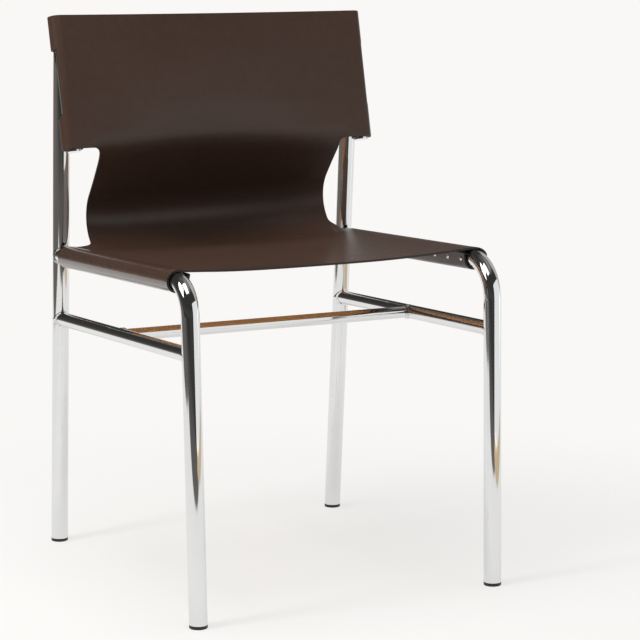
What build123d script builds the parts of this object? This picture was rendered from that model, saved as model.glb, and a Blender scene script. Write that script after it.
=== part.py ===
"""Sling chair: a chromed tube frame that carries one continuous sheet of saddle leather.

Millimetres. X runs across the chair, -Y is the front, +Z is up, and the origin is on the floor
under the middle of the chair. "left" is the side at -X, which is on the left seen from the front.
Each side frame is flat, and the two open a little towards the back and the top, so most of the
layout is worked out in the (Y, Z) side view of one frame and then placed on the left. The right
side is its mirror image, but for the bend at the front of the seat, which is wider on the right.
"""
import os
from math import cos, hypot, radians, sin, sqrt, tan

from build123d import *

# Side frames
side_spacing = 460.6          # between the planes of the two side frames, on the floor at Y = 0
side_toe = 0.66               # degrees, each side frame turns out towards the back
side_lean = 0.25              # degrees, each side frame leans outwards
front_foot_y = -253.7         # where the axis of a front leg meets the floor
rear_foot_y = 253.7           # where the axis of a rear post meets the floor
front_leg_lean = 1.8          # degrees, the leg tops lean back
post_lean = 4.3               # degrees, the post tops lean forward
rail_height = 450.5           # axis of the seat rail above the floor at Y = 0
rail_drop = 2.4               # degrees, the rail falls towards the back
left_bend_radius = 43.0       # centre line of the bend between front leg and seat rail
right_bend_radius = 53.0      # the same on the right, where the tube is bent less tightly
stretcher_drop = 95.6         # side stretcher below the rail, upright
cross_bar_y = -1.6
bar_low_y = 161.0             # lower end of the back bar's axis
bar_rise = 148.2              # of that end above the rail's height
bar_recline = 14.1            # degrees

# Tubes
main_diameter = 25.0          # legs, rails and posts
bar_diameter = 22.0
stretcher_diameter = 21.0
cross_bar_diameter = 17.5
main_wall = 2.0
light_wall = 1.5              # back bars, stretchers and cross bar
weld_gap = 0.1                # between a coped tube end and the tube that it is welded to
weld_size = 2.2               # leg of the weld fillet
cope_edge = 4.0               # a coped rail end stops this far short of the post's axis
post_wing = 2.0               # the post's mitred end stops this far behind the bar's axis
cutter_reach = 2000.0         # longer than the chair, for the blocks and rods that only cut

# Feet and end caps
glide_height = 4.8            # from the floor to the end of the tube
glide_edge = 1.0
glide_stem_length = 16.0
glide_fit = 0.15              # between the stem and the bore of the tube, on the radius
cap_thickness = 3.0
cap_fit = 0.1

# Leather
leather = 3.0                 # thickness of the sheet
wrap_fit = 0.3                # between a tube and the leather round it
flap_rise = 25.0              # degrees that a flap climbs past the inner side of its tube
sleeve_rear_gap = 16.0        # bare rail between the sleeve and the post
ear_low = 3.0                 # lower edge of the back panel above the end of its bar
back_height = 195.2           # of the back panel, along the bars
bar_top_inset = 2.0           # the bar's upper end below the top edge of the leather
lumbar_radius = 50.0          # bend from the back panel into the waist
lumbar_lift = -1.0            # corner of that bend above the bar's lower end, along the bar
ear_bend_radius = 10.0        # the same bend where the ears of the panel lie on the bars
ear_bend_drop = 4.0           # corner of that bend under the lower edge of an ear
waist_angle = 39.0            # degrees off upright of the sheet under the lumbar bend
seat_roll_radius = 50.0       # bend from the waist into the seat
rail_roll_radius = 32.0       # the same bend beside the rails
waist_inset = 41.0            # edge of the waist inside the plane of the side frame
cut_share = 0.6               # of the cut-out's height that each of its two cuts covers
ear_corner_radius = 9.0
seat_corner_radius = 12.0
sag_front = 7.0               # of the seat's middle at its front edge
sag_rear = 11.0
back_bow = 7.0                # of the back panel's middle
notch_clearance = 1.5         # between the top of the post and the notch in the back pocket
notch_low_clearance = 12.0    # the notch starts this far below where the post meets the pocket
notch_front_angle = 53.0      # degrees, from the front of the bar to the edge of the notch

# Rivets
rivet_shank = 4.0
rivet_head = 7.0
rivet_head_height = 1.6
rivet_dimple = 2.2            # hollow left by the drawn pin
rivet_dimple_depth = 0.6
rivet_shoulder = 5.3          # width of the dome at rivet_shoulder_height
rivet_shoulder_height = 0.9
rivet_tail = 5.4              # upset end inside the tube
rivet_tail_length = 3.0
rivet_fit = 0.15              # round the shank, under the head and before the tail
rivet_margin = 7.0            # first rivet behind the front edge of the right sleeve
rivet_pitch = 37.5
back_rivet_margin = 12.0

side_x = -side_spacing / 2
main_radius = main_diameter / 2
bar_radius = bar_diameter / 2
stretcher_radius = stretcher_diameter / 2
cross_bar_radius = cross_bar_diameter / 2


# Side view helpers: points and directions are (Y, Z) pairs.
def along(point, direction, distance):
    """The point that lies a distance from another in a direction."""
    return (point[0] + direction[0] * distance, point[1] + direction[1] * distance)


def crossing(point_a, direction_a, point_b, direction_b):
    """Where two lines of the side view cross."""
    determinant = direction_a[0] * direction_b[1] - direction_a[1] * direction_b[0]
    gap_y = point_b[0] - point_a[0]
    gap_z = point_b[1] - point_a[1]
    distance = (gap_y * direction_b[1] - gap_z * direction_b[0]) / determinant
    return along(point_a, direction_a, distance)


def span(point_a, point_b):
    """Distance between two points of the side view."""
    return hypot(point_b[0] - point_a[0], point_b[1] - point_a[1])


def lengthwise_plane(x):
    """The plane that runs along the chair at a distance across it, turned like the side frames."""
    share = x / side_x
    toe = share * tan(radians(side_toe))
    lean = share * tan(radians(side_lean))
    return Plane(origin=(x, 0, 0), x_dir=(-toe, 1, 0), z_dir=(1, toe, lean))


side_plane = lengthwise_plane(side_x)
inward = side_plane.z_dir     # from the left frame towards the middle of the chair


def placed(point, inset=0.0):
    """A point of the side view in space, on the left frame or a distance inside it."""
    return side_plane.from_local_coords(Vector(point[0], point[1], inset))


def direction_3d(direction):
    return placed(direction) - placed((0.0, 0.0))


# Axes of the side frame
front_foot = (front_foot_y, 0.0)
rear_foot = (rear_foot_y, 0.0)
leg_up = (sin(radians(front_leg_lean)), cos(radians(front_leg_lean)))
post_up = (-sin(radians(post_lean)), cos(radians(post_lean)))
rail_mid = (0.0, rail_height)
rail_back = (cos(radians(rail_drop)), -sin(radians(rail_drop)))
rail_up = (-rail_back[1], rail_back[0])
bar_low = (bar_low_y, rail_height + bar_rise)
bar_up = (sin(radians(bar_recline)), cos(radians(bar_recline)))
bar_rear = (bar_up[1], -bar_up[0])
bar_front = (-bar_rear[0], -bar_rear[1])
stretcher_mid = (0.0, rail_height - stretcher_drop)

front_corner = crossing(front_foot, leg_up, rail_mid, rail_back)
rail_joint = crossing(rear_foot, post_up, rail_mid, rail_back)
stretcher_front = crossing(front_foot, leg_up, stretcher_mid, rail_back)
stretcher_rear = crossing(rear_foot, post_up, stretcher_mid, rail_back)
cross_bar_centre = crossing((cross_bar_y, 0.0), (0.0, 1.0), stretcher_mid, rail_back)
bend_turn = 90.0 + rail_drop - front_leg_lean
bend_share = tan(radians(bend_turn / 2))
left_bend_end = along(front_corner, rail_back, left_bend_radius * bend_share)
right_bend_end = along(front_corner, rail_back, right_bend_radius * bend_share)

# Where the post, leaning forward, runs into the back of the bar: its distance behind the bar's
# axis falls steadily with the height along the bar.
post_offset_low = span(bar_low, crossing(bar_low, bar_rear, rear_foot, post_up))
post_closing = tan(radians(bar_recline + post_lean))
post_half_depth = main_radius / cos(radians(bar_recline + post_lean))
pocket_inner = bar_radius + wrap_fit
pocket_outer = pocket_inner + leather
notch_low = (post_offset_low - pocket_outer - post_half_depth) / post_closing - notch_low_clearance
post_end = (post_offset_low - pocket_outer + post_half_depth) / post_closing
notch_top = post_end + notch_clearance

# Leather along the rail and the bar
sleeve_inner = main_radius + wrap_fit
sleeve_outer = sleeve_inner + leather
sleeve_rear = along(rail_joint, rail_back, -(main_radius + sleeve_rear_gap))
left_sleeve_length = span(left_bend_end, sleeve_rear)
right_sleeve_length = span(right_bend_end, sleeve_rear)
back_low = along(bar_low, bar_up, ear_low)
back_top = along(back_low, bar_up, back_height)


def rod(start, end, radius):
    """Solid round bar between two points in space."""
    axis = Plane(origin=start, z_dir=end - start)
    return extrude(axis * Circle(radius), amount=(end - start).length)


def tube(start, end, radius, wall):
    """Straight hollow tube between two points in space."""
    return rod(start, end, radius) - rod(start, end, radius - wall)


def block_below(height):
    """Everything lower than a height."""
    return Pos(0, 0, height - cutter_reach / 2) * Box(cutter_reach, cutter_reach, cutter_reach)


def block_above(height):
    """Everything higher than a height."""
    return Pos(0, 0, height + cutter_reach / 2) * Box(cutter_reach, cutter_reach, cutter_reach)


leg_start = along(front_foot, leg_up, -main_diameter)
post_start = along(rear_foot, post_up, -main_diameter)
post_rod_end = along(rear_foot, post_up, span(rear_foot, back_top) + main_diameter)


def leg_rod(radius):
    return rod(placed(leg_start), placed(front_corner), radius)


def post_rod(radius):
    return rod(placed(post_start), placed(post_rod_end), radius)


def bar_rod(radius):
    low = along(bar_low, bar_up, -cutter_reach / 2)
    return rod(placed(low), placed(along(low, bar_up, cutter_reach)), radius)


def stretcher_rod(radius):
    return rod(placed(stretcher_front), placed(stretcher_rear), radius)


# Rivets on the inner side of a tube, given by their distances along it
def rivet_row(length, margin, pitch):
    """Distances of evenly pitched rivets from one end of a flap."""
    count = int((length - 2 * margin) / pitch + 1e-6) + 1
    return [margin + number * pitch for number in range(count)]


seat_rivets_at = [
    along(right_bend_end, rail_back, distance)
    for distance in rivet_row(right_sleeve_length, rivet_margin, rivet_pitch)
]
lower_flap_length = notch_low - ear_low
upper_flap_length = ear_low + back_height - notch_top
back_rivets_at = [
    along(bar_low, bar_up, distance)
    for distance in (
        ear_low + back_rivet_margin,
        ear_low + lower_flap_length - back_rivet_margin,
        notch_top + back_rivet_margin,
        notch_top + upper_flap_length - back_rivet_margin,
    )
]


def rivet_holes(points, outer_radius):
    """Shank holes through the inner half of a tube and the leather on it."""
    radius = rivet_shank / 2 + rivet_fit
    return [rod(placed(p), placed(p, outer_radius + leather), radius) for p in points]


def front_leg_and_rail(bend_radius):
    """One tube bent once: front leg below, seat rail running back to the post."""
    rail_end = along(rail_joint, rail_back, -cope_edge)
    corners = [placed(leg_start), placed(front_corner), placed(rail_end)]
    path = FilletPolyline(*corners, radius=bend_radius)
    start = Plane(origin=corners[0], z_dir=corners[1] - corners[0])
    outer = sweep(start * Circle(main_radius), path=path)
    inner = sweep(start * Circle(main_radius - main_wall), path=path)
    solid = outer - inner - block_below(glide_height) - post_rod(main_radius + weld_gap)
    return solid - rivet_holes(seat_rivets_at, sleeve_outer)


def rear_post():
    """Straight tube from the floor, with its top mitred against the back bar."""
    post = post_rod(main_radius) - post_rod(main_radius - main_wall)
    post -= block_below(glide_height) + bar_rod(bar_radius + weld_gap)
    wing_edge = along(bar_low, bar_rear, post_wing)
    in_front = Plane(origin=placed(wing_edge), x_dir=inward, z_dir=direction_3d(bar_front))
    above = Plane(origin=placed(along(bar_low, bar_up, post_end)), z_dir=direction_3d(bar_up))
    cutter = Rectangle(cutter_reach, cutter_reach)
    post -= extrude(in_front * cutter, amount=cutter_reach)
    return post - extrude(above * cutter, amount=cutter_reach)


def back_bar():
    """Reclined tube inside the side pocket of the back panel."""
    top = along(back_top, bar_up, -bar_top_inset)
    bar = tube(placed(bar_low), placed(top), bar_radius, light_wall)
    return bar - rivet_holes(back_rivets_at, pocket_outer)


def bar_cap(end, inward):
    """Round plug set flush in one end of the back bar."""
    radius = bar_radius - light_wall - cap_fit
    return rod(placed(end), placed(along(end, inward, cap_thickness)), radius)


def side_stretcher():
    """Tube between the front leg and the rear post, coped to both."""
    body = stretcher_rod(stretcher_radius) - stretcher_rod(stretcher_radius - light_wall)
    return body - leg_rod(main_radius + weld_gap) - post_rod(main_radius + weld_gap)


def cross_bar():
    """Tube across the chair between the two side stretchers."""
    start = placed(cross_bar_centre)
    end = Vector(-start.X, start.Y, start.Z)
    bar = tube(start, end, cross_bar_radius, light_wall)
    seat = stretcher_rod(stretcher_radius + weld_gap)
    return bar - seat - mirror(seat, Plane.YZ)


def weld(branch_start, branch_end, branch_radius, carrier, carrier_radius):
    """Fillet ring where the end of a branch tube is welded to the tube that carries it."""
    outside = rod(branch_start, branch_end, branch_radius + weld_size)
    outside -= rod(branch_start, branch_end, branch_radius + weld_gap)
    ring = outside & carrier(carrier_radius + weld_size)
    return ring - carrier(carrier_radius + weld_gap)


def rail_weld():
    start = placed(along(rail_joint, rail_back, -main_diameter))
    return weld(start, placed(along(rail_joint, rail_back, -cope_edge)), main_radius, post_rod, main_radius)


def stretcher_weld(joint, inward, carrier):
    start = placed(along(joint, inward, main_diameter))
    return weld(start, placed(joint), stretcher_radius, carrier, main_radius)


def cross_bar_weld():
    start = placed(cross_bar_centre) + Vector(main_diameter, 0, 0)
    return weld(start, placed(cross_bar_centre), cross_bar_radius, stretcher_rod, stretcher_radius)


def glide(foot, up):
    """Moulded foot: a flat-bottomed head as wide as the tube, and a stem in its bore."""
    low = placed(along(foot, up, -main_diameter))
    high = placed(along(foot, up, glide_height + glide_stem_length))
    head = rod(low, high, main_radius) - block_below(0.0) - block_above(glide_height)
    sole = head.faces().sort_by(Axis.Z)[0]
    head = fillet(sole.edges(), glide_edge)
    stem = rod(placed(along(foot, up, glide_height / 2)), high, main_radius - main_wall - glide_fit)
    return head + stem


# Leather
def sheet_section(x):
    """Closed outline of the sheet at one distance across the chair, cut lengthwise."""
    half = side_spacing / 2
    slack = 1 - (x / half) ** 2
    blend = min(1.0, (half - abs(x)) / waist_inset)
    roll = rail_roll_radius + (seat_roll_radius - rail_roll_radius) * blend
    lumbar = ear_bend_radius + (lumbar_radius - ear_bend_radius) * blend
    bend_turn_half = radians((waist_angle + bar_recline) / 2)
    ear_lift = ear_low - ear_bend_drop - ear_bend_radius * tan(bend_turn_half)
    lift = ear_lift + (lumbar_lift - ear_lift) * blend
    bow = back_bow * slack
    front_share = (half + x) / side_spacing
    front_at = along(left_bend_end, rail_back, front_share * span(left_bend_end, right_bend_end))
    front_end = along(along(front_at, rail_up, sleeve_outer), (0.0, -1.0), sag_front * slack)
    rear_end = along(along(sleeve_rear, rail_up, sleeve_outer), (0.0, -1.0), sag_rear * slack)
    seat_run = (rear_end[0] - front_end[0], rear_end[1] - front_end[1])
    seat_run = (seat_run[0] / hypot(*seat_run), seat_run[1] / hypot(*seat_run))
    face_top = along(back_top, bar_front, pocket_outer - bow)
    lumbar_edge = along(along(bar_low, bar_up, lift), bar_front, pocket_outer - bow)
    waist_run = (sin(radians(waist_angle)), -cos(radians(waist_angle)))
    seat_back = crossing(lumbar_edge, waist_run, front_end, seat_run)

    behind_waist = (-waist_run[1], waist_run[0])
    under_seat = (seat_run[1], -seat_run[0])
    rear_top = along(face_top, bar_rear, leather)
    waist_rear = along(lumbar_edge, behind_waist, leather)
    seat_under = along(front_end, under_seat, leather)
    rear_lumbar = crossing(rear_top, bar_up, waist_rear, waist_run)
    rear_seat_back = crossing(waist_rear, waist_run, seat_under, seat_run)

    face_line = FilletPolyline(
        face_top, lumbar_edge, seat_back, front_end, radius=[lumbar, roll]
    )
    rear_line = FilletPolyline(
        rear_top, rear_lumbar, rear_seat_back, seat_under,
        radius=[lumbar - leather, roll + leather],
    )
    ends = [Line(face_top, rear_top), Line(front_end, seat_under)]
    outline = make_face([*face_line.edges(), *rear_line.edges(), *ends])
    return lengthwise_plane(x) * outline


def wrap(start, inner_radius, length):
    """Leather rolled round a tube: face side, outside, far side and up the inside as a flap."""
    sweep_angle = 270.0 + flap_rise
    outer_radius = inner_radius + leather
    outer_arc = CenterArc((0, 0), outer_radius, 90, sweep_angle)
    inner_arc = CenterArc((0, 0), inner_radius, 90, sweep_angle)
    ends = [Line(outer_arc @ 0, inner_arc @ 0), Line(outer_arc @ 1, inner_arc @ 1)]
    section = make_face([outer_arc, inner_arc, *ends])
    return extrude(start * section, amount=length)


rail_frame = Plane(origin=placed(sleeve_rear), x_dir=inward, z_dir=-direction_3d(rail_back))
bar_frame = Plane(origin=placed(back_top), x_dir=inward, z_dir=-direction_3d(bar_up))


def back_pocket():
    """The wrap round the back bar, open behind where the post joins the bar."""
    pocket = wrap(bar_frame, pocket_inner, back_height)
    edge = pocket_outer * cos(radians(notch_front_angle))
    depth = 2 * pocket_outer
    top = ear_low + back_height - notch_top
    height = notch_top - notch_low
    opening = Pos(0, edge - depth / 2, top + height / 2) * Box(4 * pocket_outer, depth, height)
    return pocket - bar_frame * opening


def waist_cuts():
    """The cut-out beside the waist: below the back panel's ear and behind the seat."""
    width = 2 * (waist_inset + sleeve_outer)
    below_ear = cut_share * span(back_low, sleeve_rear)
    behind_seat = 2 * below_ear
    ear = Pos(waist_inset - width / 2, back_height + below_ear / 2) * Rectangle(width, below_ear)
    ear = fillet(ear.vertices().sort_by(Axis.X)[-2:].sort_by(Axis.Y)[:1], ear_corner_radius)
    ear_frame = Plane(origin=bar_frame.origin, x_dir=inward, z_dir=direction_3d(bar_rear))
    ear_cut = extrude(ear_frame * ear, amount=behind_seat, both=True)
    tab = Pos(waist_inset - width / 2, behind_seat / 2) * Rectangle(width, behind_seat)
    tab = fillet(tab.vertices().sort_by(Axis.X)[-2:].sort_by(Axis.Y)[:1], seat_corner_radius)
    tab_frame = Plane(origin=rail_frame.origin, x_dir=inward, z_dir=direction_3d(rail_up))
    tab_cut = extrude(tab_frame * tab, amount=below_ear, both=True)
    return ear_cut + tab_cut


def leather_sling():
    """The whole sheet: seat with its sag, waist, lumbar bend, back, sleeves and pockets."""
    edge = side_spacing / 2
    waist = edge - waist_inset
    stations = [-edge, -waist, -waist / 2, 0.0, waist / 2, waist, edge]
    sheet = loft([sheet_section(x) for x in stations])
    cuts = waist_cuts()
    sheet = sheet - cuts - mirror(cuts, Plane.YZ)
    holes = rivet_holes(seat_rivets_at, sleeve_outer)
    left_sleeve = wrap(rail_frame, sleeve_inner, left_sleeve_length) - holes
    right_sleeve = mirror(wrap(rail_frame, sleeve_inner, right_sleeve_length) - holes, Plane.YZ)
    pocket = back_pocket() - rivet_holes(back_rivets_at, pocket_outer)
    return sheet + left_sleeve + right_sleeve + pocket + mirror(pocket, Plane.YZ)


def rivet(point, outer_radius, tube_inner_radius):
    """Blind rivet: dimpled dome head on the flap, shank, and upset tail inside the tube."""
    seat = outer_radius + rivet_fit
    tail = sqrt(tube_inner_radius ** 2 - (rivet_tail / 2) ** 2) - rivet_fit
    crown = seat + rivet_head_height
    dimple = rivet_dimple / 2
    shoulder = (seat + rivet_shoulder_height, rivet_shoulder / 2)
    outline = [
        Polyline(
            (tail - rivet_tail_length, 0), (tail - rivet_tail_length, rivet_tail / 2),
            (tail, rivet_tail / 2), (tail, rivet_shank / 2), (seat, rivet_shank / 2),
            (seat, rivet_head / 2),
        ),
        ThreePointArc((seat, rivet_head / 2), shoulder, (crown, dimple)),
        Polyline(
            (crown, dimple), (crown - rivet_dimple_depth, dimple),
            (crown - rivet_dimple_depth, 0), (tail - rivet_tail_length, 0),
        ),
    ]
    body = revolve(make_face([edge for line in outline for edge in line.edges()]), Axis.X)
    return Plane(origin=placed(point), x_dir=inward, z_dir=side_plane.y_dir) * body


def rivet_group(points, outer_radius, tube_inner_radius):
    return Compound([rivet(p, outer_radius, tube_inner_radius).solid() for p in points])


bar_end = along(back_top, bar_up, -bar_top_inset)
bar_down = (-bar_up[0], -bar_up[1])
leg_inward = rail_back
post_inward = (-rail_back[0], -rail_back[1])

left_parts = {
    "front_leg_and_rail": front_leg_and_rail(left_bend_radius),
    "rear_post": rear_post(),
    "back_bar": back_bar(),
    "bar_cap_lower": bar_cap(bar_low, bar_up),
    "bar_cap_upper": bar_cap(bar_end, bar_down),
    "side_stretcher": side_stretcher(),
    "weld_rail_to_post": rail_weld(),
    "weld_stretcher_front": stretcher_weld(stretcher_front, leg_inward, leg_rod),
    "weld_stretcher_rear": stretcher_weld(stretcher_rear, post_inward, post_rod),
    "weld_cross_bar": cross_bar_weld(),
    "glide_front": glide(front_foot, leg_up),
    "glide_rear": glide(rear_foot, post_up),
    "seat_rivets": rivet_group(seat_rivets_at, sleeve_outer, main_radius - main_wall),
    "back_rivets": rivet_group(back_rivets_at, pocket_outer, bar_radius - light_wall),
}

os.makedirs("parts", exist_ok=True)
mirrored_parts = dict(left_parts, front_leg_and_rail=front_leg_and_rail(right_bend_radius))
for name, shape in left_parts.items():
    export_step(shape, f"parts/{name}_left.step")
    export_step(mirror(mirrored_parts[name], Plane.YZ), f"parts/{name}_right.step")
export_step(cross_bar(), "parts/cross_bar.step")
export_step(leather_sling(), "parts/leather_sling.step")
print("back notch along the bar", round(notch_low, 1), "to", round(notch_top, 1))
print("post ends at", round(post_end, 1), "left sleeve length", round(left_sleeve_length, 1))
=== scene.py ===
# %% [markdown]
# # A sling chair: chromed tube and one sheet of saddle leather
#
# The chair is a frame of round tube, welded and chromed, and a single thick sheet of leather that
# is seat, waist and back in one. The frame is rigid and already has its true shape in the packed
# part, so here it only gets its finish. The leather is soft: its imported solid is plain, and this
# lesson makes the sheet again as a fine mesh, in the same place.

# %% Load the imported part
from math import atan2, cos, hypot, pi, radians, sin, sqrt, tan

import bpy
import numpy as np
from mathutils import Euler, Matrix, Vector


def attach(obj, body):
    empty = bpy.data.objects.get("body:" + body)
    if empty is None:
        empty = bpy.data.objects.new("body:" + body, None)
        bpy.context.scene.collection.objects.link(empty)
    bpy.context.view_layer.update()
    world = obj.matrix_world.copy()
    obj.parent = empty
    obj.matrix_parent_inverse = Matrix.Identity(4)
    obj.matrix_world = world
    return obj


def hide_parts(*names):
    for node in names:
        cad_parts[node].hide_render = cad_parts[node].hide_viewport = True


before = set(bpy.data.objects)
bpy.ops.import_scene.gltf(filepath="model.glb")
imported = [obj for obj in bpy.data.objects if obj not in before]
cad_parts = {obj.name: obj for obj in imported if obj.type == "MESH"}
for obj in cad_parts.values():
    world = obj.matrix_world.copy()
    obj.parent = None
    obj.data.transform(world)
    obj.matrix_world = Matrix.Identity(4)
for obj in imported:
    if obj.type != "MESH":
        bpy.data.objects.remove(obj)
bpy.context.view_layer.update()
mm = 0.001

# %% [markdown]
# ## Camera
#
# The photograph was taken from the chair's front left, from a little above the top of its back, with
# a long lens. A camera can be set by eye, but then everything built to match it is a little off.
# Here its place was worked out from the edges of the tubes: four feet and four straight legs fix it
# well. The focal length is a count of pixels of the square picture, because that is how it was
# measured, and the lens follows from it.

# %% Camera at the photograph's angle
picture_width = 640
focal_pixels = 2279.0
camera_place = Vector((-1.4039, -2.9282, 0.8997))
camera_turn = radians(26.91)     # to the right of straight ahead
camera_dip = radians(9.45)       # below the horizon

camera_data = bpy.data.cameras.new("photo_camera")
camera_data.sensor_width = 36.0
camera_data.lens = camera_data.sensor_width * focal_pixels / picture_width
camera = bpy.data.objects.new("photo_camera", camera_data)
camera.location = camera_place
camera.rotation_euler = Euler((pi / 2 - camera_dip, 0.0, -camera_turn))
bpy.context.scene.collection.objects.link(camera)
bpy.context.scene.camera = camera
bpy.context.scene.view_settings.view_transform = "Standard"
ahead = Vector((sin(camera_turn), cos(camera_turn), 0.0))
rightwards = Vector((cos(camera_turn), -sin(camera_turn), 0.0))
print("lens", round(camera_data.lens, 1), "mm")

# %% [markdown]
# ## Shader sums in Python
#
# A finish is a small calculation: noise makes it rougher here, darker there. Blender writes such a
# calculation as nodes. The class below wraps one output socket, so that ordinary sums and products
# of wires add those nodes: `1 - mask` becomes a Math node. Colours go through a Mix node and
# vectors through Vector Math, because a Math node would turn them grey.


# %% The wire class
class Wire:
    """One output socket of a node tree, ready for sums."""

    def __init__(self, tree, socket):
        self.tree = tree
        self.socket = socket

    @classmethod
    def node(cls, tree, kind, settings=None, sockets=None, out=0):
        """Any node: its type, its settings, the values or wires of its sockets, and one output."""
        made = tree.nodes.new(kind)
        for name, value in (settings or {}).items():
            setattr(made, name, value)
        for name, value in (sockets or {}).items():
            if isinstance(value, Wire):
                tree.links.new(value.socket, made.inputs[name])
            else:
                made.inputs[name].default_value = value
        return cls(tree, made.outputs[out])

    def combine(self, operation, first, second):
        """Adds the node that suits this wire: for numbers, for vectors or for colours."""
        kind = self.socket.type
        if kind == "VECTOR":
            sockets = {0: first, 1: second}
            return Wire.node(self.tree, "ShaderNodeVectorMath", {"operation": operation}, sockets)
        if kind == "RGBA":
            settings = {"data_type": "RGBA", "blend_type": operation, "clamp_result": False}
            sockets = {0: 1.0, 6: first, 7: second}
            return Wire.node(self.tree, "ShaderNodeMix", settings, sockets, out=2)
        return Wire.node(self.tree, "ShaderNodeMath", {"operation": operation}, {0: first, 1: second})

    def __add__(self, other):
        return self.combine("ADD", self, other)

    def __radd__(self, other):
        return self.combine("ADD", other, self)

    def __sub__(self, other):
        return self.combine("SUBTRACT", self, other)

    def __rsub__(self, other):
        return self.combine("SUBTRACT", other, self)

    def __mul__(self, other):
        return self.combine("MULTIPLY", self, other)

    def __rmul__(self, other):
        return self.combine("MULTIPLY", other, self)

    def ramp(self, low, high):
        """0 below low, 1 above high, and a smooth step between."""
        settings = {"interpolation_type": "SMOOTHSTEP"}
        sockets = {"Value": self, "From Min": low, "From Max": high}
        return Wire.node(self.tree, "ShaderNodeMapRange", settings, sockets)

    def between(self, first, second):
        """A colour that goes from first to second as this value goes from 0 to 1."""
        settings = {"data_type": "RGBA"}
        return Wire.node(self.tree, "ShaderNodeMix", settings, {0: self, 6: first, 7: second}, out=2)


def colour(red, green, blue):
    """A colour as a picture editor shows it, 0 to 255, turned into light."""
    def light(value):
        share = value / 255
        return share / 12.92 if share <= 0.04045 else ((share + 0.055) / 1.055) ** 2.4
    return (light(red), light(green), light(blue), 1.0)


def new_finish(name):
    """An empty material with a shader and the object's own coordinates in metres."""
    material = bpy.data.materials.new(name)
    material.use_nodes = True
    tree = material.node_tree
    tree.nodes.clear()
    shader = tree.nodes.new("ShaderNodeBsdfPrincipled")
    output = tree.nodes.new("ShaderNodeOutputMaterial")
    tree.links.new(shader.outputs["BSDF"], output.inputs["Surface"])
    place = Wire.node(tree, "ShaderNodeTexCoord", out="Object")
    return material, tree, shader, place


def plug(shader, **wires):
    """Links wires or sets plain values on a shader's sockets; base_color means Base Color."""
    for name, value in wires.items():
        socket = shader.inputs[name.replace("_", " ").title()]
        if isinstance(value, Wire):
            value.tree.links.new(value.socket, socket)
        else:
            socket.default_value = value


def noise(tree, place, size, detail=2.0, roughness=0.5):
    """Soft noise from 0 to 1 whose lumps are about a given size in metres."""
    sockets = {"Vector": place, "Scale": 1.0 / size, "Detail": detail, "Roughness": roughness}
    return Wire.node(tree, "ShaderNodeTexNoise", {}, sockets)


def dot(tree, vector, direction):
    """How far a vector reaches along a direction, as a number."""
    settings = {"operation": "DOT_PRODUCT"}
    return Wire.node(tree, "ShaderNodeVectorMath", settings, {0: vector, 1: direction}, "Value")


def size_of(value):
    """The value without its sign."""
    return Wire.node(value.tree, "ShaderNodeMath", {"operation": "ABSOLUTE"}, {0: value})


def bump(tree, height, distance, strength=1.0, below=None):
    """A Bump node over a height from 0 to 1, that many metres deep."""
    sockets = {"Height": height, "Distance": distance, "Strength": strength}
    if below is not None:
        sockets["Normal"] = below
    return Wire.node(tree, "ShaderNodeBump", {}, sockets)


print("wire class ready")

# %% [markdown]
# ## Chromed tube
#
# Polished chrome is a mirror with hardly any colour of its own. What the eye takes for its look is
# the room: a white floor, a dark side and a bright lamp, squeezed into stripes along each tube.
# Stripes painted on the tubes would look the same from every side, as real ones never do. So the
# shader is plain metal, very smooth, with two small faults of real plating: a faint haze where hands
# have been, and shallow waves left by polishing. Welds get deeper waves, and the rivets are duller.
# The glides under the legs are moulded plastic, almost black.

# %% Chrome and plastic for the frame
def chrome_finish(name, haze, wave_depth, wave_size):
    material, tree, shader, place = new_finish(name)
    smears = noise(tree, place, 45 * mm, detail=4.0)
    specks = noise(tree, place, 2 * mm, detail=1.0).ramp(0.62, 0.8)
    tint = smears.between(colour(222, 224, 226), colour(232, 233, 233))
    waves = noise(tree, place, wave_size, detail=1.0)
    plug(
        shader, base_color=tint, metallic=1.0,
        roughness=haze + 0.03 * smears.ramp(0.45, 0.75) + 0.02 * specks,
        normal=bump(tree, waves, wave_depth),
    )
    return material


chrome = chrome_finish("polished_chrome", haze=0.055, wave_depth=0.008 * mm, wave_size=60 * mm)
weld_chrome = chrome_finish("chromed_weld", haze=0.09, wave_depth=0.25 * mm, wave_size=2.5 * mm)
rivet_chrome = chrome_finish("bright_rivet", haze=0.35, wave_depth=0.04 * mm, wave_size=2 * mm)


def glide_finish():
    """Dark moulded plastic with a fine spark texture and scuffs."""
    material, tree, shader, place = new_finish("moulded_glide")
    grain = noise(tree, place, 0.6 * mm, detail=2.0)
    scuffs = noise(tree, place, 6 * mm, detail=4.0).ramp(0.5, 0.75)
    plug(
        shader, base_color=scuffs.between(colour(24, 24, 25), colour(38, 37, 36)),
        roughness=0.42 + 0.15 * scuffs, normal=bump(tree, grain, 0.03 * mm),
    )
    return material


glide_plastic = glide_finish()


def finish_for(node):
    if node.startswith("weld_"):
        return weld_chrome
    if node.endswith(("rivets_left", "rivets_right")):
        return rivet_chrome
    if node.startswith("glide_"):
        return glide_plastic
    return chrome


for name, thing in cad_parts.items():
    if name != "leather_sling":
        thing.data.materials.clear()
        thing.data.materials.append(finish_for(name))
print("finishes on", len(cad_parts) - 1, "nodes of the frame")

# %% [markdown]
# ## Layout of one side frame
#
# The sheet hangs on four tubes: two seat rails and two back bars. Their axes are straight lines in
# the side view of a frame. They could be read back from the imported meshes, but the few sizes of the
# chair's own drawing give them exactly. The two side frames open slightly to the back and the top, so
# a point of the side view moves outwards with its depth and its height.

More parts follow.
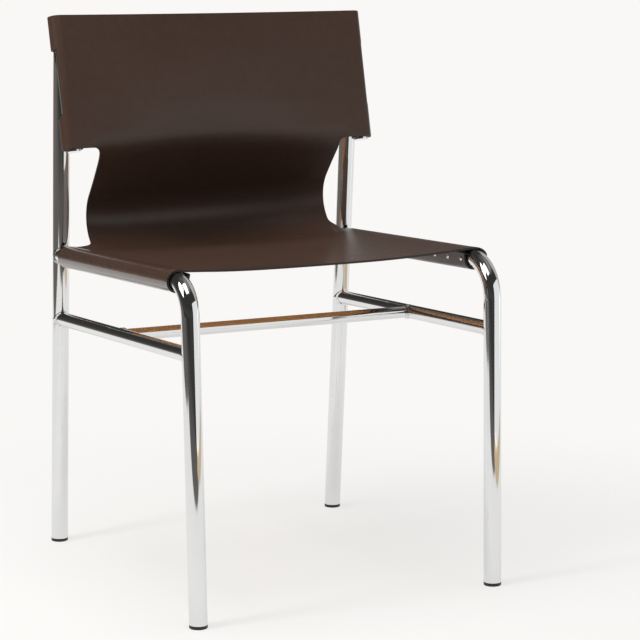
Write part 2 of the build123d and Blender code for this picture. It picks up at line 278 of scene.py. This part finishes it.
# %% Axes that carry the leather
side_spacing = 460.6 * mm
side_toe = radians(0.66)
side_lean = radians(0.25)
front_foot_y = -253.7 * mm
rear_foot_y = 253.7 * mm
front_leg_lean = radians(1.8)
post_lean = radians(4.3)
rail_height = 450.5 * mm
rail_drop = radians(2.4)
left_bend_radius = 43.0 * mm
right_bend_radius = 53.0 * mm
bar_low = (161.0 * mm, rail_height + 148.2 * mm)
bar_recline = radians(14.1)
tube_radius = 12.5 * mm
bar_radius = 11.0 * mm


def along(point, direction, distance):
    """The point at a distance from another, in the side view."""
    return (point[0] + direction[0] * distance, point[1] + direction[1] * distance)


def crossing(point_a, direction_a, point_b, direction_b):
    """Where two lines of the side view meet."""
    determinant = direction_a[0] * direction_b[1] - direction_a[1] * direction_b[0]
    gap = (point_b[0] - point_a[0], point_b[1] - point_a[1])
    return along(point_a, direction_a, (gap[0] * direction_b[1] - gap[1] * direction_b[0]) / determinant)


leg_up = (sin(front_leg_lean), cos(front_leg_lean))
post_up = (-sin(post_lean), cos(post_lean))
rail_back = (cos(rail_drop), -sin(rail_drop))
rail_up = (-rail_back[1], rail_back[0])
bar_up = (sin(bar_recline), cos(bar_recline))
bar_front = (-bar_up[1], bar_up[0])
rail_mid = (0.0, rail_height)
front_corner = crossing((front_foot_y, 0.0), leg_up, rail_mid, rail_back)
rail_joint = crossing((rear_foot_y, 0.0), post_up, rail_mid, rail_back)
bend_share = tan((pi / 2 + rail_drop - front_leg_lean) / 2)
edge = side_spacing / 2


def in_space(point, label, inset=0.0):
    """A point of the side view in space: label is its distance across, edge at a side frame."""
    spread = 1 + (tan(side_toe) * point[0] + tan(side_lean) * point[1]) / edge
    return Vector((label * spread + inset, point[0], point[1]))


print("rail from", [round(v / mm) for v in front_corner], "to", [round(v / mm) for v in rail_joint])

# %% [markdown]
# ## The leather sheet
#
# The real sheet is cut flat from one hide, about three millimetres thick, then bent over the seat
# rails and the back bars, where its flaps are riveted. A cloth simulation would make it too limp:
# leather this thick keeps smooth bends of its own. So the sheet is laid out the way it is cut, as
# rows and columns of the flat pattern. Each row is a distance from the top edge or from the front
# edge, and each column a distance across. The side view says where a row lies in space. The words
# for its places: the ears are the lower corners of the back, the lumbar bend lies between back and
# waist, and the roll between waist and seat.

# %% Sizes of the sheet
leather = 3.0 * mm
wrap_fit = 0.3 * mm              # between a tube and the leather round it
sleeve_radius = tube_radius + wrap_fit + leather
pocket_radius = bar_radius + wrap_fit + leather
wrap_turn = radians(295)         # a pocket round its bar
flap_turn = radians(262)         # a sleeve round its rail, up to the flat flap
flap_length = 11.0 * mm
sleeve_slack = 0.7 * mm
pocket_slack = 2.0 * mm
front_left = 35.3 * mm           # the front edge behind the corner of leg and rail, on each side
front_right = 50.6 * mm
sleeve_rear_gap = 16.0 * mm      # from the rear end of a sleeve to the post
sleeve_rear = along(rail_joint, rail_back, -(tube_radius + sleeve_rear_gap))
sleeve_end = hypot(sleeve_rear[0] - front_corner[0], sleeve_rear[1] - front_corner[1])
sleeve_length = sleeve_end - (front_left + front_right) / 2
ear_low = 3.0 * mm               # the ears above the lower end of the bars
back_height = 195.2 * mm
back_top = along(bar_low, bar_up, ear_low + back_height)
waist_inset = 41.0 * mm          # how deep the waist is cut in, and how much less at its ends
waist_curve = 3.0 * mm
waist_angle = radians(39.0)
lumbar_radius = 50.0 * mm
lumbar_reach = 62.0 * mm
lumbar_ease = 220.0 * mm         # radius of the soft bend above the lumbar bend
lumbar_lift = -1.0 * mm
lumbar_rise = 10.0 * mm
ear_bend_radius = 10.0 * mm
ear_bend_drop = 4.0 * mm
left_roll_radius = 45.0 * mm     # the roll differs from left to right, and is tighter at the rails
right_roll_radius = 54.0 * mm
rail_roll_radius = 31.0 * mm
ear_corner = 9.0 * mm            # round corners of the cut-outs
seat_corner = 9.0 * mm
sag_front = 7.6 * mm
sag_rear = 11.0 * mm
curl_width = 45.0 * mm           # beside a rail, where the seat follows the rail's own bend
bow_top = 4.0 * mm               # how far the back lies behind its bars in the middle
bow_middle = 6.0 * mm
bow_low = 16.0 * mm
notch_low = 56.1 * mm            # open stretch of a pocket, above the lower end of its bar
notch_top = 148.8 * mm
notch_turn = radians(53)
notch_slant = 8.0 * mm           # the notch's lower edge drops this much over this run
notch_slant_run = 9.0 * mm
lip_length = 6.0 * mm            # small lip of the right sleeve, standing off the tube at the front
lip_flare = 2.0 * mm
lip_depth = 22.0 * mm
lip_narrowing = 1.2              # above 1, the lip ends before it is half way round the tube
print("sleeve", round(sleeve_length / mm, 1), "mm long")


# %% Side view of the face at one distance across
def rounded(points, radii, step=radians(1)):
    """Points along a polyline whose inner corners are rounded to the given radii."""
    line = [points[0]]
    for before, corner, after, radius in zip(points, points[1:], points[2:], radii):
        into = np.subtract(corner, before)
        into = into / np.linalg.norm(into)
        out = np.subtract(after, corner)
        out = out / np.linalg.norm(out)
        turn = atan2(into[0] * out[1] - into[1] * out[0], float(np.dot(into, out)))
        start = np.subtract(corner, into * radius * tan(abs(turn) / 2))
        side = np.array((-into[1], into[0])) * np.sign(turn)
        count = max(2, int(abs(turn) / step))
        for number in range(count + 1):
            angle = abs(turn) * number / count
            line.append(tuple(start + into * radius * sin(angle) + side * radius * (1 - cos(angle))))
    line.append(points[-1])
    return line


def smooth(share):
    """A smooth step from 0 to 1."""
    share = min(1.0, max(0.0, share))
    return share * share * (3 - 2 * share)


def front_reach(label):
    """How far the front edge lies behind the corner of leg and rail: the sheet sits a little askew."""
    return front_left + (front_right - front_left) * (edge + label) / (2 * edge)


def seat_slack(label):
    """0 at the rails, 1 in the middle; the seat falls away from the left rail faster."""
    return 1 - abs(label / edge) ** (3 - label / edge)


def face_line(label):
    """The face of the sheet in the side view, from the back's top edge to the seat's front edge."""
    slack = 1 - (label / edge) ** 2
    blend = smooth((edge - abs(label)) / waist_inset)
    ear_lift = ear_low - ear_bend_drop - ear_bend_radius * tan((waist_angle + bar_recline) / 2)
    lift = ear_lift + (lumbar_lift - ear_lift) * blend + lumbar_rise * slack ** 2
    lumbar = ear_bend_radius + (lumbar_radius - ear_bend_radius) * blend
    seat_roll = left_roll_radius + (right_roll_radius - left_roll_radius) * (edge + label) / (2 * edge)
    roll = rail_roll_radius + (seat_roll - rail_roll_radius) * blend
    ease = lumbar_ease * slack + ear_bend_radius
    top = along(back_top, bar_front, pocket_radius - bow_top * slack)
    above = along(along(bar_low, bar_up, lumbar_reach), bar_front, pocket_radius - bow_middle * slack)
    bend = along(along(bar_low, bar_up, lift), bar_front, pocket_radius - bow_low * slack ** 2)
    front = along(front_corner, rail_back, front_reach(label))
    front = along(along(front, rail_up, sleeve_radius), (0.0, -1.0), sag_front * seat_slack(label))
    rear = along(along(sleeve_rear, rail_up, sleeve_radius), (0.0, -1.0), sag_rear * seat_slack(label))
    seat_run = (rear[0] - front[0], rear[1] - front[1])
    corner = crossing(bend, (sin(waist_angle), -cos(waist_angle)), front, seat_run)
    return np.array(rounded([top, above, bend, corner, front], [ease, lumbar, roll]))


class Face:
    """The face line at one distance across, measured along its length."""

    def __init__(self, label):
        self.points = face_line(label)
        pieces = np.hypot(*np.diff(self.points, axis=0).T)
        self.at = np.concatenate(([0.0], np.cumsum(pieces)))
        self.length = self.at[-1]

    def point(self, distance):
        return tuple(float(np.interp(distance, self.at, self.points[:, axis])) for axis in (0, 1))


middle = Face(0.0)
print("length over the middle", round(middle.length / mm), "mm")

# %% [markdown]
# ### Rows and columns
#
# The pattern has three zones along its length. The back and the seat are full width and go on
# round their tubes, and the waist between them is cut away at both sides. A plain grid with the
# cut-outs taken off by a Boolean would leave ragged edges. Here the rows crowd together at the round
# corners, and the edge column follows a quarter circle.

# %% Rows along the sheet
middle_columns = 24
side_columns = 6
wrap_columns = 50
flap_column = 44
notch_column = 10
back_step = 5 * mm
waist_step = 3 * mm
seat_step = 6 * mm
corner_steps = 6
waist_length = Face(edge - waist_inset).length - back_height - sleeve_length


def steps(start, end, size):
    """Evenly spaced values from start to end, without the end, about a size apart."""
    count = max(1, round(abs(end - start) / size))
    return [start + (end - start) * number / count for number in range(count)]


def quarter(count):
    """Angles over a quarter turn."""
    return [pi / 2 * number / count for number in range(count + 1)]


def edge_of_waist(distance):
    """Half width of the waist, by the distance below the ears along the sheet."""
    share = distance / waist_length
    half = edge - waist_inset + waist_curve * (2 * share - 1) ** 2
    for corner, near in ((ear_corner, distance), (seat_corner, waist_length - distance)):
        if near < corner:
            half += corner - sqrt(max(0.0, corner ** 2 - (corner - near) ** 2))
    return half


notch_rows = [ear_low + back_height - notch_top, ear_low + back_height - notch_low]
back_rows = (
    steps(0.0, notch_rows[0], back_step) + steps(notch_rows[0], notch_rows[1], back_step)
    + steps(notch_rows[1], back_height, back_step) + [back_height]
)
top_corner = [ear_corner * (1 - cos(angle)) for angle in quarter(corner_steps)][1:]
low_corner = [waist_length - seat_corner * (1 - cos(angle)) for angle in quarter(corner_steps)][:0:-1]
waist_rows = top_corner[:-1] + steps(ear_corner, waist_length - seat_corner, waist_step) + low_corner
seat_rows = steps(sleeve_length, 0.0, seat_step) + [0.0]
rows = (
    [("back", value) for value in back_rows] + [("waist", value) for value in waist_rows]
    + [("seat", value) for value in seat_rows]
)
print(len(back_rows), "rows of back,", len(waist_rows), "of waist,", len(seat_rows), "of seat")


# %% Points of the sheet
face_cache = {}


def face_at(label):
    """The face line at a distance across, made once and kept."""
    key = round(label, 7)
    if key not in face_cache:
        face_cache[key] = Face(key)
    return face_cache[key]


def rail_axis(distance, side):
    """A point of the rail's axis, by its distance behind the corner, and the upward direction there."""
    radius = left_bend_radius if side < 0 else right_bend_radius
    reach = radius * bend_share
    if distance >= reach:
        return along(front_corner, rail_back, distance), rail_up
    turn = (reach - distance) / radius
    up = along((rail_up[0] * cos(turn), rail_up[1] * cos(turn)), rail_back, -sin(turn))
    centre = along(along(front_corner, rail_back, reach), rail_up, -radius)
    return along(centre, up, radius), up


def on_sheet(zone, value, label):
    """A point of the flat part of the sheet."""
    face = face_at(label)
    seat_length = sleeve_end - front_reach(label)
    if zone == "back":
        return in_space(face.point(value), label)
    if zone == "waist":
        room = face.length - back_height - seat_length
        return in_space(face.point(back_height + value / waist_length * room), label)
    place = face.point(face.length - value / sleeve_length * seat_length)
    side = 1 if label > 0 else -1
    rail_edge = face_at(side * edge)
    reach = front_reach(side * edge)
    behind = value / sleeve_length * (sleeve_end - reach)
    axis, up = rail_axis(reach + behind, side)
    on_tube = along(axis, up, sleeve_radius)
    on_line = rail_edge.point(rail_edge.length - behind)
    follow = smooth((abs(label) - edge + curl_width) / curl_width)
    place = along(place, (on_tube[0] - on_line[0], on_tube[1] - on_line[1]), follow)
    return in_space(place, label)


def lip_share(value, angle, side):
    """From 0 to 1: how much of the lip is at a place of a sleeve. Only the right one has it."""
    if side < 0:
        return 0.0
    return smooth(1 - value / lip_depth) * max(0.0, sin(min(pi, lip_narrowing * angle))) ** 2


def on_wrap(zone, value, number, side):
    """A point of the sheet where it is rolled round a back bar or a seat rail."""
    if zone == "back":
        angle = notch_turn * number / notch_column
        if number > notch_column:
            share = (number - notch_column) / (wrap_columns - notch_column)
            angle = notch_turn + (wrap_turn - notch_turn) * share
        radius = pocket_radius + pocket_slack * max(0.0, sin(angle))
        past = max(0.0, angle - notch_turn) * pocket_radius
        drop = notch_slant * min(1.0, past / notch_slant_run)
        drop *= max(0.0, back_height - value) / (back_height - notch_rows[1])
        axis = along(back_top, bar_up, -value - (drop if value > notch_rows[1] - mm else 0.0))
        up = bar_front
        rise = radius * cos(angle)
        out = radius * sin(angle)
    else:
        reach = front_reach(side * edge)
        axis, up = rail_axis(reach + value / sleeve_length * (sleeve_end - reach), side)
        angle = flap_turn * min(1.0, number / flap_column)
        lip = lip_share(value, angle, side)
        axis = along(axis, rail_back, -lip_length * lip)
        radius = sleeve_radius + sleeve_slack * sin(pi * angle / flap_turn) + lip_flare * lip
        beyond_tube = flap_length * max(0, number - flap_column) / (wrap_columns - flap_column)
        rise = radius * cos(angle) - beyond_tube * sin(angle)
        out = radius * sin(angle) + beyond_tube * cos(angle)
    return in_space(along(axis, up, rise), side * edge, side * out)


flat_columns = middle_columns + side_columns
all_columns = flat_columns + wrap_columns
points = {}
for row, (zone, value) in enumerate(rows):
    waist_at = {"back": 0.0, "seat": waist_length}.get(zone, value)
    half = edge_of_waist(waist_at)
    for column in range(-all_columns, all_columns + 1):
        side = 1 if column > 0 else -1
        number = abs(column)
        if number <= middle_columns:
            points[row, column] = on_sheet(zone, value, side * half * number / middle_columns)
        elif zone == "waist":
            continue
        elif number <= flat_columns:
            share = (number - middle_columns) / side_columns
            points[row, column] = on_sheet(zone, value, side * (half + (edge - half) * share))
        else:
            points[row, column] = on_wrap(zone, value, number - flat_columns, side)
print(len(points), "points on the face")


# %% Faces between them, with the notch left open
def in_notch(row, column):
    """Whether the face below and to the right of a point lies in the open stretch of a pocket."""
    zone, value = rows[row]
    wrapped = max(abs(column), abs(column + 1)) > flat_columns + notch_column
    return zone == "back" and wrapped and notch_rows[0] - mm / 10 < value < notch_rows[1] - mm / 10


index = {}
faces = []
for row in range(len(rows) - 1):
    for column in range(-all_columns, all_columns):
        corners = [(row, column), (row + 1, column), (row + 1, column + 1), (row, column + 1)]
        if all(corner in points for corner in corners) and not in_notch(row, column):
            faces.append([index.setdefault(corner, len(index)) for corner in corners])
vertices = [points[corner] for corner in index]
print(len(faces), "faces")

# %% [markdown]
# ### Thickness and edges
#
# The thickness could be built point by point, but a Solidify modifier does it in one step: it adds
# the flesh side, and puts that and the cut edges on materials of their own. A narrow Bevel takes the
# sharpness off the cut edges, as a leather worker does with an edge tool, so that they catch a thin
# line of light.

# %% Thick sheet
sheet_mesh = bpy.data.meshes.new("leather_sheet")
sheet_mesh.from_pydata(vertices, [], faces)
sheet_mesh.update()
leather_sheet = bpy.data.objects.new("leather_sheet", sheet_mesh)
bpy.context.scene.collection.objects.link(leather_sheet)

solidify = leather_sheet.modifiers.new("thickness", "SOLIDIFY")
solidify.thickness = leather
solidify.offset = -1.0
solidify.use_even_offset = True
solidify.material_offset = 1
solidify.material_offset_rim = 2
bevel = leather_sheet.modifiers.new("eased_edges", "BEVEL")
bevel.width = 0.6 * mm
bevel.segments = 3
bevel.limit_method = "ANGLE"
bevel.angle_limit = radians(50)
bevel.harden_normals = True
bevel.material = 2
for polygon in sheet_mesh.polygons:
    polygon.use_smooth = True

# %% [markdown]
# ### Leather finishes
#
# Saddle leather is dyed on the grain side only. The grain is fine, so it shows as a soft sheen that
# breaks up, more than as bumps; where the sheet is pulled round the seat rails it is smoother and
# has a polish. The flesh side keeps the tan of the hide, matt and a little fibrous: it shows under the
# seat and behind the back, and in the chrome below. The cut edges are dyed and rubbed smooth. A band
# of the flesh side along the front edge is painted dark, as painted shade in the hollow under the
# seat's front. One finish with masks could hold all three, but three plain ones are easier to read
# and follow the mesh exactly.

# %% Grain side
polish_heights = (0.48, 0.56)    # in metres: the polish of the sleeves ends between these
polish_width = 12 * mm
smooth_width = 25 * mm


def grain_finish():
    """Dark brown dye over a fine grain, smoother and polished on the sleeves."""
    material, tree, shader, place = new_finish("leather_grain_side")
    clouds = noise(tree, place, 130 * mm, detail=3.0)
    mottle = noise(tree, place, 9 * mm, detail=4.0)
    cells = Wire.node(
        tree, "ShaderNodeTexVoronoi", {"feature": "SMOOTH_F1"},
        {"Vector": place, "Scale": 1.0 / (1.3 * mm), "Smoothness": 0.6},
    )
    pores = noise(tree, place, 0.5 * mm, detail=2.0)
    creases = noise(tree, place, 16 * mm, detail=5.0)
    dye = clouds.between(colour(62, 45, 36), colour(71, 53, 44))
    dye = mottle.ramp(0.35, 0.7).between(dye * (0.93, 0.92, 0.91, 1.0), dye)
    sideways = size_of(dot(tree, place, (1.0, 0.0, 0.0)))
    low = 1 - dot(tree, place, (0.0, 0.0, 1.0)).ramp(*polish_heights)
    stretched = low * sideways.ramp(edge - polish_width, edge + polish_width)
    smoothed = low * sideways.ramp(edge - smooth_width, edge)
    height = (0.7 * cells + 0.3 * pores) * (1 - 0.85 * smoothed)
    fine = bump(tree, height, 0.06 * mm)
    speckle = mottle.ramp(0.3, 0.8) * (1 - smoothed)
    plug(
        shader, base_color=dye,
        roughness=0.31 - 0.12 * stretched + 0.06 * clouds + 0.05 * speckle,
        normal=bump(tree, creases * (1 - 0.85 * smoothed), 0.12 * mm, below=fine),
        coat_weight=0.7 * stretched, coat_roughness=0.16,
    )
    shader.inputs["Specular IOR Level"].default_value = 0.36
    return material


# %% Flesh side and cut edges
# Painted shade: a band of the flesh side behind the front edge is painted dark, where the hollow under
# the seat lies in shade.
front_shade_reach = 14 * mm
front_shade_start = front_corner[0] + front_right + front_shade_reach


def flesh_finish():
    """Tan and fibrous, with a painted shade, dark brown, near the front edge."""
    material, tree, shader, place = new_finish("leather_flesh_side")
    fibres = noise(tree, place, 1.1 * mm, detail=6.0, roughness=0.7)
    patches = noise(tree, place, 60 * mm, detail=3.0)
    tan_with_painted_shade = patches.between(colour(176, 118, 66), colour(190, 134, 80))
    # Near the front edge the tan gives way to painted shade, dark brown.
    behind_front_shade = dot(tree, place, (0.0, 1.0, 0.0)).ramp(front_shade_start, front_shade_start + front_shade_reach)
    tan_with_painted_shade = behind_front_shade.between(colour(38, 29, 23), tan_with_painted_shade)
    plug(
        shader, base_color=fibres.ramp(0.3, 0.7).between(tan_with_painted_shade * (0.84, 0.82, 0.8, 1.0), tan_with_painted_shade),
        roughness=0.86 + 0.08 * fibres, normal=bump(tree, fibres, 0.2 * mm),
    )
    shader.inputs["Sheen Weight"].default_value = 0.15
    return material


def edge_finish():
    """Dyed and rubbed cut edges, with a trace of the layers of the hide."""
    material, tree, shader, place = new_finish("leather_cut_edge")
    layers = noise(tree, place, 1.5 * mm, detail=4.0)
    plug(
        shader, base_color=layers.between(colour(27, 21, 17), colour(38, 29, 23)),
        roughness=0.4 + 0.15 * layers, normal=bump(tree, layers, 0.08 * mm),
    )
    return material


for finish in (grain_finish(), flesh_finish(), edge_finish()):
    sheet_mesh.materials.append(finish)
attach(leather_sheet, "root")
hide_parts("leather_sling")

# %% [markdown]
# ## Studio
#
# Chrome needs something to mirror, and the stripes in the legs tell what stood in the photograph's
# studio: a white paper floor that ended about a metre in front of the chair and two metres to its
# left, a white card to the right with a strip of bare wood before it, and a dim room. All of it could
# be built, but a floor whose colour changes from place to place is simpler. The camera sees a plain
# pale floor that goes on for ever. Only mirrors see the paper end, and that draws the dark stripe
# down each front leg. Close to the chair the floor is partly a lit surface, so it keeps the soft
# shadows of the feet. Depth is measured straight ahead of the camera and across to its right, in
# metres from the chair's middle.

# %% Floor
paper_colour = colour(250, 248, 246)
lit_colour = colour(220, 219, 217)
wood_colour = colour(214, 191, 154)
paper_front = -1.2               # depth of the paper's front edge, which runs askew
paper_skew = 0.3
paper_left = -1.9                # place of its left edge, which runs askew too
paper_flare = 0.3
card_turn = radians(125)         # to the right of straight ahead
card_distance = 1.536
card_end = 0.35
card_end_blur = 0.2
strip_turn = radians(112)
strip_place = (1.12, 1.55)
strip_depth = (-1.3, 0.3)
paper_blur = 0.04
glow_near = 0.72                 # share of the floor near the chair that glows and takes no shadow
glow_reach = (0.45, 1.2)         # the share rises to all of it between these distances
shadow_middle = (-0.02, -0.1, 0.0)
floor_size = 90.0


def largest(first, second):
    """The larger of two values."""
    return Wire.node(first.tree, "ShaderNodeMath", {"operation": "MAXIMUM"}, {0: first, 1: second})


def beyond(value, limit):
    """1 where a value is past a limit, with the soft edge of paper that lies a little loose."""
    return value.ramp(limit - paper_blur, limit + paper_blur)


def within(value, limits):
    """1 between two limits, with the same soft edges."""
    return beyond(value, limits[0]) * (1 - beyond(value, limits[1]))


def ray_kind(tree, name):
    """1 for the rays of one kind, such as those that come straight from the camera."""
    return Wire.node(tree, "ShaderNodeLightPath", out=f"Is {name} Ray")


def floor_finish():
    """Pale paper for the camera; mirrors see its edges, the wood by the card and the dim room beyond."""
    material, tree, shader, place = new_finish("paper_floor")
    tree.nodes.remove(shader)
    output = next(node for node in tree.nodes if node.type == "OUTPUT_MATERIAL")
    depth = dot(tree, place, ahead)
    across = dot(tree, place, rightwards)
    paper = beyond(depth - paper_skew * across, paper_front)
    paper = paper * beyond(across + paper_flare * depth, paper_left)
    to_card = cos(card_turn) * depth + sin(card_turn) * across
    by_card = 1 - depth.ramp(card_end, card_end + card_end_blur)
    behind_card = by_card * beyond(to_card, card_distance)
    to_strip = cos(strip_turn) * depth + sin(strip_turn) * across
    strip = within(to_strip, strip_place) * within(depth, strip_depth)
    paper = paper * (1 - behind_card)
    front_room = depth.ramp(-3.4, -1.2).between(colour(50, 50, 50), colour(104, 102, 99))
    room = depth.ramp(-0.4, 0.6).between(front_room, colour(116, 106, 98))
    room = behind_card.between(room, colour(62, 61, 59))
    room = strip.between(room, wood_colour)
    from_middle = place - shadow_middle
    away = Wire.node(tree, "ShaderNodeVectorMath", {"operation": "LENGTH"}, {0: from_middle}, "Value")
    far = away.ramp(*glow_reach)
    glow_share = glow_near + (1 - glow_near) * far
    lit = Wire.node(tree, "ShaderNodeBsdfDiffuse", {}, {"Color": lit_colour})
    glow = Wire.node(tree, "ShaderNodeEmission", {}, {"Color": paper_colour})
    dark = Wire.node(tree, "ShaderNodeEmission", {}, {"Color": room})
    direct = largest(ray_kind(tree, "Camera"), ray_kind(tree, "Glossy"))
    seen = Wire.node(tree, "ShaderNodeMixShader", {}, {0: direct * glow_share, 1: lit, 2: glow})
    off_paper = (1 - ray_kind(tree, "Camera")) * largest(1 - paper, strip)
    final = Wire.node(tree, "ShaderNodeMixShader", {}, {0: off_paper, 1: seen, 2: dark})
    tree.links.new(final.socket, output.inputs["Surface"])
    return material


floor_mesh = bpy.data.meshes.new("floor")
half_floor = floor_size / 2
floor_corners = [(x * half_floor, y * half_floor, 0.0) for x, y in ((-1, -1), (1, -1), (1, 1), (-1, 1))]
floor_mesh.from_pydata(floor_corners, [], [(0, 1, 2, 3)])
floor = bpy.data.objects.new("floor", floor_mesh)
bpy.context.scene.collection.objects.link(floor)
floor_mesh.materials.append(floor_finish())
print("floor", floor_size, "m square")

# %% [markdown]
# ### Walls and ceiling
#
# The world does the same with the walls. The camera sees plain paper. Mirrors see a bright low wall
# behind the chair, a tall grey one to the right of that and a dim room elsewhere, with a ceiling that
# is paler on the right. All else is lit by a soft grey that is paler overhead. A picture of a room
# would do all this at once, but a few smooth steps over the direction are enough, and they can be
# set one by one.

# %% World
def towards(turn):
    """A level direction, by its angle to the right of straight ahead."""
    return ahead * cos(turn) + rightwards * sin(turn)


bright_turn = radians(20)
tall_turn = radians(42)
ceiling_turn = radians(80)
world = bpy.data.worlds.new("studio")
bpy.context.scene.world = world
world.use_nodes = True
tree = world.node_tree
tree.nodes.clear()
direction = Wire.node(tree, "ShaderNodeTexCoord", out="Generated")
facing = dot(tree, direction, towards(tall_turn))
aside = size_of(dot(tree, direction, towards(tall_turn + pi / 2)))
height = dot(tree, direction, (0.0, 0.0, 1.0))
bright_wall = dot(tree, direction, towards(bright_turn)).ramp(0.53, 0.64) * (1 - height.ramp(0.02, 0.1))
tall_wall = (0.8 * facing - aside).ramp(0.0, 0.25) * (1 - height.ramp(0.72, 0.88))
dark_wall = height.ramp(0.0, 0.35).between(colour(66, 66, 66), colour(55, 54, 53))
pale_side = dot(tree, direction, towards(ceiling_turn)).ramp(-0.1, 0.3)
ceiling = pale_side.between(colour(88, 87, 85), colour(150, 148, 145))
room = height.ramp(0.8, 0.95).between(dark_wall, ceiling)
walls = bright_wall.between(tall_wall.between(room, colour(190, 189, 186)), colour(240, 240, 238))
soft_light = height.ramp(0.0, 0.7).between(colour(64, 64, 64), colour(184, 184, 184))
mirrored = ray_kind(tree, "Glossy").between(soft_light, walls)
seen = ray_kind(tree, "Camera").between(mirrored, paper_colour)
background = Wire.node(tree, "ShaderNodeBackground", {}, {"Color": seen, "Strength": 1.0})
world_output = tree.nodes.new("ShaderNodeOutputWorld")
tree.links.new(background.socket, world_output.inputs["Surface"])
print("world ready")

# %% [markdown]
# ### Lamps
#
# Two softboxes and the white card show in the chrome: one to the left and one overhead make the two
# highlights on each bend. The other two lamps only light. The small one at the front left draws the
# shadow of each foot, and the wide one above lifts the seat. One large lamp would light the chair as
# well, but then neither the highlights nor the shadows could be placed.


# %% Lamps
def softbox(name, place, aim, size, power, mirrored):
    """A flat soft lamp; one that isn't mirrored lights the chair without showing in the chrome."""
    data = bpy.data.lights.new(name, "AREA")
    data.shape = "RECTANGLE"
    data.size, data.size_y = size
    data.energy = power
    lamp = bpy.data.objects.new(name, data)
    lamp.location = place
    lamp.rotation_euler = (Vector(aim) - Vector(place)).to_track_quat("-Z", "Y").to_euler()
    lamp.visible_camera = False
    lamp.visible_glossy = mirrored
    bpy.context.scene.collection.objects.link(lamp)
    return lamp


# The two lamps above are aimed a hair off the plumb line, so that their sides stay square to the chair.
chair_middle = Vector((0.0, 0.0, 0.45))
softbox("key_left", (-2.0, 0.1, 2.05), chair_middle, (1.2, 1.3), 14.0, True)
softbox("front_left", (-2.3, -0.3, 2.0), chair_middle, (0.6, 0.6), 40.0, False)
softbox("overhead", (-0.46, -0.57, 1.69), (-0.46, -0.569, 0.0), (0.75, 0.8), 3.5, True)
softbox("top_fill", (-0.3, 0.15, 2.6), (-0.3, 0.151, 0.0), (1.4, 1.4), 31.0, False)
card_size = (2.4, 1.25)
card_shift = 0.52
card_place = card_distance * towards(card_turn) + card_shift * towards(card_turn - pi / 2)
card_place.z = card_size[1] / 2
softbox("side_card", card_place, card_place - towards(card_turn), card_size, 8.5, True)
print("five lamps")
